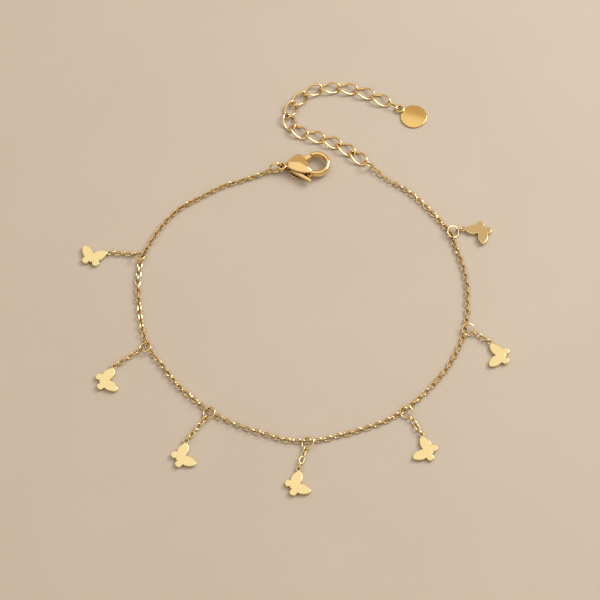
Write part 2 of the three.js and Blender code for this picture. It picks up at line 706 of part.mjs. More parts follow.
const line = chainCurve(startLink.centre, endLink.centre);
const rings = DROPS.map((drop) => dropRingFrame(line, drop));
add('main_chain', mainChain(line, rings, startLink, endLink));

DROPS.forEach((drop, k) => {
  const chain = dropChain(rings[k], drop);
  add(`drop_ring_${k + 1}`, ringSolid(rings[k], DROP_RING));
  add(`drop_chain_${k + 1}`, toGeometry(joined(chain.links)));
  add(`butterfly_${k + 1}`, butterflySolid(drop, chain.eyeletWire, chain.heading), PALE_GOLD);
});

curbs.forEach((centre, k) => {
  const name = `extender_link_${String(k + 1).padStart(2, '0')}`;
  add(name, placed(curbLoop(CURB), centre, curbHeading(curbs, k), UP));
});

const tag = tagPieces(curbs);
add('tag_link', tag.link);
add('tag', tag.tag);

// The origin lies under the middle of the whole anklet, on the surface
const box = new THREE.Box3().setFromObject(anklet);
const middle = box.getCenter(new THREE.Vector3());
anklet.position.set(-middle.x, -middle.y, -box.min.z);
anklet.updateMatrixWorld(true);

export default anklet;
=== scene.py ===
"""Looks of the charm anklet: round wires, real chain links, polished gold, plain studio."""

import math
import random

import bmesh
import bpy
import numpy as np
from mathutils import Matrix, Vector


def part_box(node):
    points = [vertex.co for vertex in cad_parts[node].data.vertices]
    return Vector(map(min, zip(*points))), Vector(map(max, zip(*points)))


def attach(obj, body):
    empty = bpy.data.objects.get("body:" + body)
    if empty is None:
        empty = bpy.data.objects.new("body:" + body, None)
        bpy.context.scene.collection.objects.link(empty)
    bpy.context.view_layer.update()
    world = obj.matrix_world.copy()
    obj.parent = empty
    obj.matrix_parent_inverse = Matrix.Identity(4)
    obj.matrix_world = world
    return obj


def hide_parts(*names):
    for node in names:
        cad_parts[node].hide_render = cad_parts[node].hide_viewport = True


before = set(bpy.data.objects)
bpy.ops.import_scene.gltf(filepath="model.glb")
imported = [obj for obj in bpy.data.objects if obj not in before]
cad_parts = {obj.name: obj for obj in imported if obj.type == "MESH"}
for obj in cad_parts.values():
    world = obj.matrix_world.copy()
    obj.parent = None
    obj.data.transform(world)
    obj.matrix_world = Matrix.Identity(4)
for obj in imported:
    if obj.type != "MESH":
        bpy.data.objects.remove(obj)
ROOT = "anklet"
LEVER_BODY = "lever"
MM = 0.001
UP = np.array([0.0, 0.0, 1.0])
RNG = random.Random(7)


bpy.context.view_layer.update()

# ---------------------------------------------------------------- sizes, mm
LINK = {"length": 1.9, "width": 1.32, "wire": 0.31}
PITCH = 1.135
GAP = 0.04
# What a drop's link reaches past its pitch in the solids, and what it reaches here
FUSE = 0.06
PLAY = 0.015
EVEN_ROW_TURN = -60.0
# How far a link of the chain may stray: in turn (degrees), sideways (mm) and in heading
STRAY = {"roll": 9, "side": 0.05, "yaw": 0.07}
LEAST_REST = 0.47
DROP_RING = {"diameter": 3.05, "wire": 0.3}
# What the photo's rings, curb links and eyelets show over the solids' wire
RING_SWELL = 0.05
CLASP_EYELET_SWELL = (0.12, 0.08)
CLASP_RING = {"diameter": 3.15, "wire": 0.45, "tilt": 71.0, "play": 0.125, "heading": 190.0}
EXTENDER_RING = {"diameter": 2.8, "wire": 0.4, "tilt": -45.0}
CURB = {"length": 5.4, "width": 3.25, "wire": 0.47, "twist": 45.0, "play": 0.12}
TAG_LINK = {
    "length": 3.45, "width": 1.92, "wire": 0.34, "roll": 50.0, "lift": 0.03, "play": 0.26,
}
TAG = {"diameter": 6.2, "thickness": 0.5, "round": 0.11, "dome": 0.035}
TAG_EYELET = {"diameter": 2.2, "wire": 0.42}
CHARM = {
    "thickness": 0.85, "edge": 0.09, "tip": (2.85, 1.15), "tip_round": 0.62,
    "waist": (1.72, -1.39), "lobe": (1.15, -2.15), "lobe_radius": 0.85, "tail": 2.6,
    "notch": (0.3, -2.12),
}
# A level strip inside each rounded edge, which keeps the face's shading flat
FLAT_RIM = 0.05
CHARM_EYELET = {"diameter": 1.35, "wire": 0.33, "height": 0.65}
CLASP = {
    "thickness": 3.0, "heading": 5.1, "hook": 3.25, "hole": 2.0, "hook_height": 2.0,
    "tip": 115.0, "heel": -150.0, "width": 6.1, "from": 7.3, "widest": 3.9,
    "eyelet_from": 8.15, "eyelet": 1.9, "eyelet_hole": 1.2, "eyelet_height": 1.1,
}
LEVER = {
    "thickness": 0.9, "pivot": (-5.3, 0.5), "hub": 0.95, "arm": 0.82, "heel": (-5.8, -1.3),
    "tab": (-2.0, -4.3), "taper": 0.8, "tip_gap": 3.0, "inset": 0.25, "opening": 22.0, "gap": 0.1,
    "slot": [(-6.9, -0.8), (-5.9, -1.15), (-2.6, -2.55), (-1.6, -6.0), (-7.5, -4.0)],
    "slot_below": 0.35,
}
RIVET = {"diameter": 0.8, "top": 0.95}
HOOK_PLACE = np.array([3.9, 35.05, 0.0])
CHAIN_LEAVES_RING = 24.0
CHAIN_START_HEADING = 199.0
CHAIN_END_HEADING = 140.0
TAG_HEADING = -31.0
CLASP_OUTLINE = [
    [(-0.9, 0.36), (-0.72, 0.93), (-0.58, 0.93)],
    [(-0.44, 0.93), (-0.34, 0.42)],
    [(-0.24, -0.05)],
    [(-0.15, -0.75)],
    [(-0.13, -0.97), (-0.3, -1.05), (-0.5, -1.03)],
    [(-0.76, -1.0), (-0.94, -0.62), (-0.97, -0.24)],
]
# The clasp body's height (share of half its thickness) at shares of its outline
CLASP_DOME = [
    (0.03, 1.0), (0.2, 0.985), (0.4, 0.94), (0.58, 0.87), (0.73, 0.785), (0.85, 0.69),
    (0.93, 0.59), (0.975, 0.46), (0.995, 0.3), (1.0, 0.12),
]
CHAIN_ROUTE = [
    (-12.1, 31.7), (-16.7, 30.1), (-20.4, 28.2), (-23.6, 26.3), (-27.3, 24.0), (-30.2, 21.1),
    (-32.8, 17.4), (-34.7, 13.8), (-36.1, 10.9), (-36.8, 6.9), (-36.8, 2.3), (-36.3, -2.9),
    (-35.5, -8.0), (-34.0, -12.4), (-31.3, -16.3), (-27.9, -20.9), (-24.4, -24.5),
    (-19.5, -28.5), (-15.5, -30.7), (-11.0, -32.6), (-7.1, -33.9), (-2.6, -35.2), (1.3, -35.4),
    (4.8, -35.1), (9.3, -33.9), (13.7, -32.6), (17.7, -31.1), (21.7, -28.9), (24.4, -26.9),
    (28.5, -23.0), (31.2, -19.8), (33.6, -16.3), (35.7, -12.3), (37.0, -8.8), (37.7, -4.9),
    (38.0, 0.2), (37.9, 4.8), (36.8, 10.0), (35.3, 14.6), (34.75, 16.8), (32.6, 20.0),
    (30.0, 23.2), (27.3, 26.2), (24.2, 29.0), (20.5, 31.4),
]
# How far each charm leans back as it lies, in degrees
CHARM_LEAN = (-0.6, 0.3, -0.4, 0.2, -0.5, 0.4, 3.2)
EXTENDER_START = (13.6, 37.35)
EXTENDER_ROUTE = [
    (0, 0), (-0.524, 0.431), (-1.15, 0.787), (-1.87, 1.065), (-2.56, 1.31), (-2.976, 1.809),
    (-2.913, 2.428), (-2.556, 2.954), (-1.963, 3.417), (-1.2, 3.565), (-0.426, 3.528),
    (0.324, 3.306), (1.028, 2.954),
]
# at, reach, leave, heading, links, spacing, charm, wing
DROPS = [
    (0.188, 0.53, 150, 175.5, 5, 0.61, 343, 1),
    (0.302, 0.53, 198, 216, 6, 0.62, 279, -1),
    (0.408, 0.45, 232, 233, 6, 0.62, 293, -1),
    (0.520, 0.50, 246, 253, 4, 0.68, 296, -1),
    (0.632, 0.53, 305, 300, 4, 0.68, 69, 1),
    (0.754, 0.53, 330, 327, 4, 0.58, 86, 1),
    (0.878, 0.53, 24, 15, 1, 0.68, 137, 1),
]


# ---------------------------------------------------------------- vectors
def vec(x, y, z=0.0):
    return np.array([x, y, z], float)


def unit(v):
    return v / np.linalg.norm(v)


def toward(degrees):
    angle = math.radians(degrees)
    return vec(math.cos(angle), math.sin(angle))


def clasp_plan(x, y):
    return HOOK_PLACE + toward(CLASP["heading"]) * x + toward(CLASP["heading"] + 90) * y


def shift_to_row():
    """From the anklet's own plan to the frame, by the middle of the clasp's rivet."""
    low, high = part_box("clasp_rivet")
    rivet = (np.array(low) + np.array(high)) / 2 / MM
    plan = clasp_plan(*LEVER["pivot"])
    plan[2] = CLASP["thickness"] / 2
    return rivet - plan


SHIFT = shift_to_row()


# ---------------------------------------------------------------- mesh parts
# A part is (points, faces), in millimetres in the anklet's plan
def merged(parts):
    points, faces, start = [], [], 0
    for part_points, part_faces in parts:
        points.append(np.asarray(part_points, float))
        faces.extend([[i + start for i in face] for face in part_faces])
        start += len(part_points)
    return np.vstack(points), faces


def placed(part, centre, along, hole):
    x = unit(along)
    z = unit(hole - x * np.dot(hole, x))
    y = np.cross(z, x)
    points, faces = part
    return centre + points @ np.array([x, y, z]), faces


def wire_loop(line, wire, steps, sides):
    """A closed loop of round wire round the z axis, bent to line(turn)."""
    points, faces = [], []
    delta = 1e-3
    for i in range(steps):
        turn = 2 * math.pi * i / steps
        middle = line(turn)
        tangent = unit(line(turn + delta) - line(turn - delta))
        rise = -unit(np.cross(tangent, middle))
        out = np.cross(tangent, rise)
        for j in range(sides):
            a = 2 * math.pi * j / sides
            points.append(middle + (out * math.cos(a) + rise * math.sin(a)) * wire / 2)
    for i in range(steps):
        for j in range(sides):
            a, b = i * sides + j, i * sides + (j + 1) % sides
            c, d = ((i + 1) % steps) * sides + (j + 1) % sides, ((i + 1) % steps) * sides + j
            faces.append([a, d, c, b])
    return np.array(points), faces


def round_loop(size, steps=48, sides=12):
    r = (size["diameter"] - size["wire"]) / 2
    return wire_loop(lambda t: vec(r * math.cos(t), r * math.sin(t)), size["wire"], steps, sides)


def power(value, exponent):
    return math.copysign(abs(value) ** exponent, value)


def oval_loop(size, steps=28, sides=10, fullness=0.88):
    """A link whose sides run a little straighter than an ellipse's."""
    a = (size["length"] - size["wire"]) / 2
    b = (size["width"] - size["wire"]) / 2

    def line(t):
        return vec(a * power(math.cos(t), fullness), b * power(math.sin(t), fullness))

    return wire_loop(line, size["wire"], steps, sides)


def curb_loop(size, steps=64, sides=14):
    a = (size["length"] - size["wire"]) / 2
    b = (size["width"] - size["wire"]) / 2
    twist = math.radians(size["twist"])

    def line(t):
        side, roll = b * math.sin(t), twist * math.cos(t)
        return vec(a * math.cos(t), side * math.cos(roll), side * math.sin(roll))

    return wire_loop(line, size["wire"], steps, sides)


def hold_of(link, wire):
    return link["length"] / 2 - link["wire"] - wire / 2 - GAP


# ---------------------------------------------------------------- objects
def make_mesh(name, part, smooth_angle=40):
    """A mesh in the frame, in metres, from a part in millimetres."""
    points, faces = part
    mesh = bpy.data.meshes.new(name)
    mesh.from_pydata(((points + SHIFT) * MM).tolist(), [], faces)
    mesh.validate()
    mesh.update()
    obj = bpy.data.objects.new(name, mesh)
    bpy.context.scene.collection.objects.link(obj)
    tidy_normals(mesh)
    shade(mesh, smooth_angle)
    return obj


def tidy_normals(mesh):
    work = bmesh.new()
    work.from_mesh(mesh)
    bmesh.ops.recalc_face_normals(work, faces=work.faces)
    work.to_mesh(mesh)
    work.free()


def shade(mesh, angle):
    mesh.polygons.foreach_set("use_smooth", [True] * len(mesh.polygons))
    mesh.set_sharp_from_angle(angle=math.radians(angle))


def show(name, part, node, material, slot, body=ROOT, smooth_angle=40):
    obj = make_mesh(name, part, smooth_angle)
    obj.data.materials.append(material)
    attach(obj, body)
    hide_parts(node)
    return obj


# ---------------------------------------------------------------- materials
def node_of(tree, kind, **inputs):
    node = tree.nodes.new(kind)
    for key, value in inputs.items():
        node.inputs[key.replace("_", " ")].default_value = value
    return node


def math_node(tree, operation, first, second, third=None):
    """One arithmetic step; each value is a socket or a number."""
    node = tree.nodes.new("ShaderNodeMath")
    node.operation = operation
    for socket, value in zip(node.inputs, (first, second, third)):
        if isinstance(value, bpy.types.NodeSocket):
            tree.links.new(value, socket)
        elif value is not None:
            socket.default_value = value
    return node.outputs[0]


def mapped(tree, value, low, high, start=0.0, end=1.0):
    """A value from start to end, carried to the span from low to high."""
    node = node_of(tree, "ShaderNodeMapRange")
    for key, number in (("From Min", start), ("From Max", end), ("To Min", low), ("To Max", high)):
        node.inputs[key].default_value = number
    tree.links.new(value, node.inputs["Value"])
    return node.outputs["Result"]


def blended(tree, share, first, second):
    """A mix of two colours, each a socket or a colour."""
    node = tree.nodes.new("ShaderNodeMix")
    node.data_type = "RGBA"
    tree.links.new(share, node.inputs["Factor"])
    for key, colour in (("A", first), ("B", second)):
        if isinstance(colour, bpy.types.NodeSocket):
            tree.links.new(colour, node.inputs[key])
        else:
            node.inputs[key].default_value = colour
    return node.outputs["Result"]


# Painted shade: deep recesses and contacts are painted dark brown; how far the walls look for each
# other, and the shade's colour
PAINTED_SHADE_REACH = 0.001
PAINTED_SHADE_COLOUR = (0.12, 0.055, 0.012, 1)


def gold(name, colour, dark, roughness, spread, scale, bump):
    """Polished gold plate: a warm metal with faint cloudiness, hairlines and dents, and painted
    shade that turns its hollows and contacts dark brown.
    """
    material = bpy.data.materials.new(name)
    material.use_nodes = True
    tree = material.node_tree
    shader = tree.nodes["Principled BSDF"]
    shader.inputs["Metallic"].default_value = 1.0
    place = tree.nodes.new("ShaderNodeTexCoord")
    cloud = node_of(tree, "ShaderNodeTexNoise", Scale=scale, Detail=3.0, Roughness=0.5)
    fine = node_of(tree, "ShaderNodeTexNoise", Scale=scale * 9, Detail=2.0, Roughness=0.6)
    for noise in (cloud, fine):
        tree.links.new(place.outputs["Object"], noise.inputs["Vector"])
    island = tree.nodes.new("ShaderNodeNewGeometry").outputs["Random Per Island"]
    tone = math_node(tree, "MULTIPLY_ADD", cloud.outputs["Fac"], 0.5,
                     mapped(tree, island, 0.0, 0.35))
    metal = blended(tree, tone, (*colour, 1), (*dark, 1))
    # Painted shade: where ambient occlusion finds walls close by, the base colour is mixed towards
    # dark brown
    occlusion = node_of(tree, "ShaderNodeAmbientOcclusion", Distance=PAINTED_SHADE_REACH)
    occlusion.samples = 6
    painted_shade = mapped(tree, occlusion.outputs["AO"], 0.0, 1.0, 0.1, 0.82)
    tree.links.new(blended(tree, painted_shade, PAINTED_SHADE_COLOUR, metal), shader.inputs["Base Color"])
    rough = mapped(tree, fine.outputs["Fac"], roughness, roughness + spread)
    tree.links.new(rough, shader.inputs["Roughness"])
    dents = node_of(tree, "ShaderNodeBump", Strength=bump, Distance=0.00002)
    tree.links.new(cloud.outputs["Fac"], dents.inputs["Height"])
    tree.links.new(dents.outputs["Normal"], shader.inputs["Normal"])
    return material


def paper():
    """Matte beige paper, faintly mottled, with a fine tooth."""
    material = bpy.data.materials.new("beige_paper")
    material.use_nodes = True
    tree = material.node_tree
    shader = tree.nodes["Principled BSDF"]
    shader.inputs["Roughness"].default_value = 0.9
    shader.inputs["Specular IOR Level"].default_value = 0.15
    place = tree.nodes.new("ShaderNodeTexCoord")
    mottle = node_of(tree, "ShaderNodeTexNoise", Scale=28.0, Detail=5.0, Roughness=0.6)
    tooth = node_of(tree, "ShaderNodeTexNoise", Scale=900.0, Detail=3.0, Roughness=0.6)
    ramp = tree.nodes.new("ShaderNodeValToRGB")
    ramp.color_ramp.elements[0].color = (0.525, 0.458, 0.375, 1)
    ramp.color_ramp.elements[0].position = 0.3
    ramp.color_ramp.elements[1].color = (0.543, 0.475, 0.39, 1)
    ramp.color_ramp.elements[1].position = 0.7
    bump = node_of(tree, "ShaderNodeBump", Strength=0.25, Distance=0.0002)
    for noise in (mottle, tooth):
        tree.links.new(place.outputs["Object"], noise.inputs["Vector"])
    tree.links.new(mottle.outputs["Fac"], ramp.inputs["Fac"])
    tree.links.new(ramp.outputs["Color"], shader.inputs["Base Color"])
    tree.links.new(tooth.outputs["Fac"], bump.inputs["Height"])
    tree.links.new(bump.outputs["Normal"], shader.inputs["Normal"])
    return material


CHAIN_GOLD = gold("chain_gold", (0.97, 0.76, 0.38), (0.86, 0.62, 0.27), 0.11, 0.07, 420, 0.3)
CHARM_GOLD = gold("charm_gold", (0.925, 0.79, 0.42), (0.905, 0.76, 0.39), 0.11, 0.05, 260, 0.15)
CLASP_GOLD = gold("clasp_gold", (0.93, 0.70, 0.33), (0.86, 0.61, 0.25), 0.06, 0.05, 240, 0.15)
TAG_GOLD = gold("tag_gold", (0.89, 0.66, 0.25), (0.85, 0.60, 0.21), 0.06, 0.04, 200, 0.15)


# ---------------------------------------------------------------- rings
def ring_frame(centre, u, v, size):
    r = (size["diameter"] - size["wire"]) / 2
    return {
        "centre": centre, "u": u, "v": v,
        "point": lambda a: centre + u * (r * math.cos(a)) + v * (r * math.sin(a)),
        "wire": lambda a: v * math.cos(a) - u * math.sin(a),
    }


def ring_part(ring, size):
    size = dict(size, wire=size["wire"] + RING_SWELL)
    return placed(round_loop(size), ring["centre"], ring["u"], np.cross(ring["u"], ring["v"]))


def clasp_ring_frame():
    out = toward(CLASP_RING["heading"])
    side = np.cross(out, UP)
    tilt = math.radians(CLASP_RING["tilt"])
    rise = side * -math.cos(tilt) + UP * -math.sin(tilt)
    r = (CLASP_RING["diameter"] - CLASP_RING["wire"]) / 2
    eyelet = clasp_plan(-CLASP["eyelet_from"], 0)
    eyelet[2] = CLASP["thickness"] / 2
    return ring_frame(eyelet + out * (r + CLASP_RING["play"]), out, rise, CLASP_RING)


def curb_rise(size):
    half = (size["width"] - size["wire"]) / 2
    twist = math.radians(size["twist"])
    turns = [math.radians(k) for k in range(90)]
    return half * max(math.sin(t) * math.sin(twist * math.cos(t)) for t in turns)


CURB_START = vec(*EXTENDER_START, curb_rise(CURB) + CURB["wire"] / 2)
CURBS = [CURB_START + vec(x, y) * CURB["length"] for x, y in EXTENDER_ROUTE]


def curb_heading(k):
    return unit(CURBS[min(k + 1, len(CURBS) - 1)] - CURBS[max(k - 1, 0)])


def extender_ring_frame():
    out = -curb_heading(0)
    side = np.cross(UP, out)
    tilt = math.radians(EXTENDER_RING["tilt"])
    lean = side * math.cos(tilt) + UP * math.sin(tilt)
    r = (EXTENDER_RING["diameter"] - EXTENDER_RING["wire"]) / 2
    centre = CURBS[0] + out * (hold_of(CURB, EXTENDER_RING["wire"]) - CURB["play"] + r)
    centre[2] = r * math.sin(abs(tilt)) + EXTENDER_RING["wire"] / 2
    return ring_frame(centre, out, lean, EXTENDER_RING)


def link_on(ring, angle, heading, wire):
    centre = ring["point"](angle) + heading * (hold_of(LINK, wire) - 2 * GAP)
    return centre, heading, ring["wire"](angle)


# ---------------------------------------------------------------- chain route
class Route:
    """A smooth line through points, measured along its length."""

    def __init__(self, points, samples=2000):
        self.points = points
        shares = np.linspace(0, 1, samples + 1)
        self.samples = np.array([self.at_share(s) for s in shares])
        steps = np.linalg.norm(np.diff(self.samples, axis=0), axis=1)
        self.lengths = np.concatenate([[0], np.cumsum(steps)])
        self.shares = shares
        self.length = self.lengths[-1]

    def at_share(self, share):
        pts = self.points
        last = len(pts) - 1
        place = last * share
        k = min(int(place), last - 1)
        w = place - k
        p1, p2 = pts[k], pts[k + 1]
        p0 = pts[k - 1] if k > 0 else 2 * pts[0] - pts[1]
        p3 = pts[k + 2] if k + 2 <= last else 2 * pts[last] - pts[last - 1]
        d0, d1, d2 = (np.linalg.norm(b - a) ** 0.5 for a, b in ((p0, p1), (p1, p2), (p2, p3)))
        t1 = ((p1 - p0) / d0 - (p2 - p0) / (d0 + d1) + (p2 - p1) / d1) * d1
        t2 = ((p2 - p1) / d1 - (p3 - p1) / (d1 + d2) + (p3 - p2) / d2) * d1
        c2 = -3 * p1 + 3 * p2 - 2 * t1 - t2
        c3 = 2 * p1 - 2 * p2 + t1 + t2
        return p1 + t1 * w + c2 * w * w + c3 * w ** 3

    def point(self, share):
        s = np.interp(share * self.length, self.lengths, self.shares)
        return self.at_share(s)

    def tangent(self, share):
        low, high = max(share - 1e-4, 0), min(share + 1e-4, 1)
        return unit(self.point(high) - self.point(low))


def drop_ring_frame(line, drop):
    at, reach_share, leave = drop[:3]
    r = (DROP_RING["diameter"] - DROP_RING["wire"]) / 2
    reach = r * reach_share
    half_chord = math.sqrt(r * r - reach * reach)
    threaded_at = at - half_chord / line.length
    threaded = line.point(threaded_at)
    crossed = line.point(at + half_chord / line.length)
    crossed[2] = LINK["width"] + DROP_RING["wire"] / 2 + GAP
    u = unit(crossed - threaded)
    middle = (threaded + crossed) / 2
    tangent = line.tangent(at)
    outward = unit(np.cross(tangent, UP))
    leave_dir = toward(leave)
    lean = math.atan2(np.dot(leave_dir, tangent), np.dot(leave_dir, outward))
    fall = (LINK["width"] / 2 - middle[2] - r * u[2] * math.sin(lean)) / (reach + r * math.cos(lean))
    level = unit(outward - u * np.dot(outward, u))
    upright = np.cross(u, level)
    if upright[2] < 0:
        upright = -upright
    pitch = math.asin(max(-0.9, min(0.9, fall / upright[2])))
    v = level * math.cos(pitch) + upright * math.sin(pitch)
    ring = ring_frame(middle + v * reach, u, v, DROP_RING)
    ring["threaded"] = threaded
    ring["threaded_at"] = threaded_at
    ring["threaded_hole"] = ring["wire"](math.atan2(-reach, -half_chord))
    ring["start"] = ring["point"](math.pi / 2 - lean)
    return ring


def drop_links(ring, drop):
    """The links of one drop, and where and how the charm's eyelet hangs on the last."""
    heading_angle, count, spacing = drop[3:6]
    heading = toward(heading_angle)
    pitch = LINK["length"] * spacing
    cad = dict(LINK, length=pitch + 2 * LINK["wire"] - FUSE)
    shown = dict(LINK, length=pitch + 2 * LINK["wire"] + PLAY)
    first = hold_of(cad, DROP_RING["wire"]) - 2 * GAP
    last = count - 1
    drift = EVEN_ROW_TURN / last if count % 2 == 0 else 0
    half = (LINK["width"] - LINK["wire"]) / 2
    parts = []
    for k in range(count):
        roll = math.radians(((last - k) % 2) * 90 + drift * (last - k))
        hole = np.cross(UP, heading) * math.cos(roll) + UP * math.sin(roll)
        rest = half * abs(math.cos(roll)) + LINK["wire"] / 2 + GAP
        centre = ring["start"] + heading * (first + k * pitch)
        centre[2] = max(rest, CHARM_EYELET["height"] - GAP)
        parts.append(placed(oval_loop(shown), centre, heading, hole))
    reach = first + last * pitch + hold_of(cad, CHARM_EYELET["wire"]) - GAP
    eyelet_wire = ring["start"] + heading * reach
    eyelet_wire[2] = CHARM_EYELET["height"]
    return merged(parts), eyelet_wire, heading


def roll_of(hole, tangent):
    side = unit(np.cross(UP, tangent))
    top = np.cross(tangent, side)
    return math.degrees(math.atan2(np.dot(hole, top), np.dot(hole, side)))


def stray(kind):
    return RNG.uniform(-STRAY[kind], STRAY[kind])


def chain_links(line, stations):
    """Every link of the main chain: the stations' own, and the links between them."""
    part = oval_loop(LINK, steps=24, sides=8)
    half = (LINK["width"] - LINK["wire"]) / 2
    links = [placed(part, centre, along, hole) for _, centre, along, hole in stations]
    for start, end in zip(stations, stations[1:]):
        count = max(1, round((end[0] - start[0]) * line.length / PITCH))
        from_roll = roll_of(start[3], line.tangent(start[0]))
        to_roll = roll_of(end[3], line.tangent(end[0]))
        turn = (to_roll - from_roll - 90 * count + 90) % 180 - 90
        for k in range(1, count):
            share = start[0] + (end[0] - start[0]) * k / count
            free = min(k, count - k, 3) / 3
            roll = from_roll + k * (90 + turn / count) + stray("roll") * free
            roll = math.radians(roll)
            tangent = line.tangent(share)
            side = unit(np.cross(UP, tangent))
            hole = side * math.cos(roll) + np.cross(tangent, side) * math.sin(roll)
            centre = line.point(share) + side * (stray("side") * free)
            rest = half * abs(math.cos(roll)) + LINK["wire"] / 2
            centre[2] += max(rest, LEAST_REST) - LINK["width"] / 2
            yaw = side * (stray("yaw") * free)
            links.append(placed(part, centre, unit(tangent + yaw), hole))
    return merged(links)


def stacked(points, count):
    """A closed solid from rings of `count` points each, from the lowest ring up."""
    levels = len(points) // count
    faces = []
    for level in range(levels - 1):
        for k in range(count):
            n = (k + 1) % count
            a, b = level * count, (level + 1) * count
            faces.append([a + k, a + n, b + n, b + k])
    faces.append(list(reversed(range(count))))
    faces.append([(levels - 1) * count + k for k in range(count)])
    return np.array(points), faces


# ---------------------------------------------------------------- charms and tag
def bezier(points, steps):
    """Points along a curve pulled by two, one or no points, without its start."""
    points = [np.array(p, float) for p in points]
    found = []
    for k in range(1, steps + 1):
        row, t = points, k / steps
        while len(row) > 1:
            row = [a * (1 - t) + b * t for a, b in zip(row, row[1:])]
        found.append(tuple(row[0]))
    return found


def wing_outline():
    tip, waist = CHARM["tip"], CHARM["waist"]
    out = [(0.0, 0.0)]
    share = CHARM["tip_round"] / math.hypot(*tip)
    across, up = tip[1] * share, tip[0] * share
    front = [(0, 0), (tip[0] * 0.316, tip[1] * 1.3), (tip[0] - across, tip[1] + up), tip]
    rear = [tip, (tip[0] + across, tip[1] - up), (tip[0] * 0.9, tip[1] * -0.8), waist]
    out += bezier(front, 16) + bezier(rear, 16)
    for k in range(21):
        a = math.radians(46 - 178 * k / 20)
        lobe, r = CHARM["lobe"], CHARM["lobe_radius"]
        out.append((lobe[0] + r * math.cos(a), lobe[1] + r * math.sin(a)))
    out.append(CHARM["notch"])
    return out


def spread_out(points, shortest):
    kept = []
    for p in points:
        if not kept or math.dist(p, kept[-1]) > shortest:
            kept.append(p)
    return kept


def inset(outline, distance):
    """The outline moved inwards; `outline` runs anticlockwise."""
    pts = np.array(outline)
    before, after = np.roll(pts, 1, 0), np.roll(pts, -1, 0)
    a = (pts - before) / np.linalg.norm(pts - before, axis=1)[:, None]
    b = (after - pts) / np.linalg.norm(after - pts, axis=1)[:, None]
    normal = np.column_stack([-(a + b)[:, 1], (a + b)[:, 0]])
    length = np.linalg.norm(normal, axis=1)
    normal /= length[:, None]
    miter = 1 / np.clip(length / 2, 0.55, 1)
    return pts + normal * (distance * miter)[:, None]


def plate(outline, height, edge, steps=4):
    """A flat plate with rounded edges, from its outline, lying on z = 0."""
    rings = [(edge + FLAT_RIM, 0)]
    for k in range(steps + 1):
        a = math.pi / 2 * k / steps
        rings.append((edge * (1 - math.sin(a)), edge * (1 - math.cos(a))))
    levels = rings + [(back, height - z) for back, z in reversed(rings)]
    points = [(x, y, z) for back, z in levels for x, y in inset(outline, back)]
    return stacked(points, len(outline))


def butterfly(drop, eyelet_wire, heading, lean):
    charm_angle, wing = drop[6:8]
    right = wing_outline()
    left = [(-x, y) for x, y in reversed(right[1:])]
    outline = spread_out(right + [(0, -CHARM["tail"])] + left, 0.03)
    outline.reverse()
    body = plate(outline, CHARM["thickness"], CHARM["edge"])
    tip = vec(wing * CHARM["tip"][0], CHARM["tip"][1])
    r = (CHARM_EYELET["diameter"] - CHARM_EYELET["wire"]) / 2
    eyelet = tip + unit(tip) * r + UP * CHARM_EYELET["height"]
    loop = round_loop(CHARM_EYELET, 32, 10)
    points, faces = merged([body, (loop[0] + eyelet, loop[1])])
    turn = math.radians(charm_angle)
    spin = np.array([[math.cos(turn), math.sin(turn), 0], [-math.sin(turn), math.cos(turn), 0],
                     [0, 0, 1]])
    shift = eyelet_wire + heading * r - eyelet @ spin
    shift[2] = 0
    points = points @ spin + shift
    rise, away = math.radians(lean), points[:, 1] - eyelet_wire[1]
    points[:, 1] = eyelet_wire[1] + away * math.cos(rise) + points[:, 2] * math.sin(rise)
    points[:, 2] = points[:, 2] * math.cos(rise) - away * math.sin(rise)
    points[:, 2] -= points[:, 2].min()
    return points, faces


def lathe(profile, steps, centre):
    """A solid turned about z, from (radius, height) rows from the lowest up."""
    turns = [2 * math.pi * k / steps for k in range(steps)]
    points = [(r * math.cos(a), r * math.sin(a), z) for r, z in profile for a in turns]
    points, faces = stacked(points, steps)
    return points + centre, faces


def tag_parts():
    last = len(CURBS) - 1
    heading = toward(TAG_HEADING)
    eyelet_radius = (TAG_EYELET["diameter"] - TAG_EYELET["wire"]) / 2
    curb_wire = CURBS[last] + curb_heading(last) * ((CURB["length"] - CURB["wire"]) / 2)
    hold = hold_of(TAG_LINK, CURB["wire"]) - TAG_LINK["play"]
    span = hold + hold_of(TAG_LINK, TAG_EYELET["wire"]) - TAG_LINK["play"]
    height = TAG_LINK["wire"] + TAG_EYELET["wire"] / 2 + TAG_LINK["lift"]
    drop = curb_wire[2] - height
    eyelet_wire = curb_wire + heading * math.sqrt(span * span - drop * drop)
    eyelet_wire[2] = height
    direction = unit(eyelet_wire - curb_wire)
    centre = curb_wire + direction * hold + UP * TAG_LINK["lift"]
    roll = math.radians(TAG_LINK["roll"])
    hole = np.cross(UP, heading) * math.cos(roll) + UP * math.sin(roll)
    link = placed(oval_loop(TAG_LINK, 40, 12), centre, direction, hole)

    eyelet = eyelet_wire + heading * eyelet_radius
    reach = TAG["diameter"] / 2 + TAG_EYELET["diameter"] / 2 - TAG_EYELET["wire"]
    middle = eyelet + heading * reach
    middle[2] = 0
    r, round_by, thick = TAG["diameter"] / 2, TAG["round"], TAG["thickness"]
    rim, flat = [math.pi / 2 * k / 5 for k in range(6)], r - round_by
    low = [(flat - 0.06, 0)]
    low += [(r - round_by * (1 - math.sin(a)), round_by * (1 - math.cos(a))) for a in rim]
    high = [(x, thick - TAG["dome"] - z) for x, z in reversed(low[1:])]
    dome = [flat * (1 - k / 10) for k in range(1, 10)]
    high += [(x, thick - TAG["dome"] * (x / flat) ** 2) for x in dome]
    disc = lathe(low + high, 96, middle)
    shown = {key: value + 2 * RING_SWELL for key, value in TAG_EYELET.items()}
    loop = placed(round_loop(shown, 40, 12), eyelet, heading, UP)
    return link, merged([disc, loop])


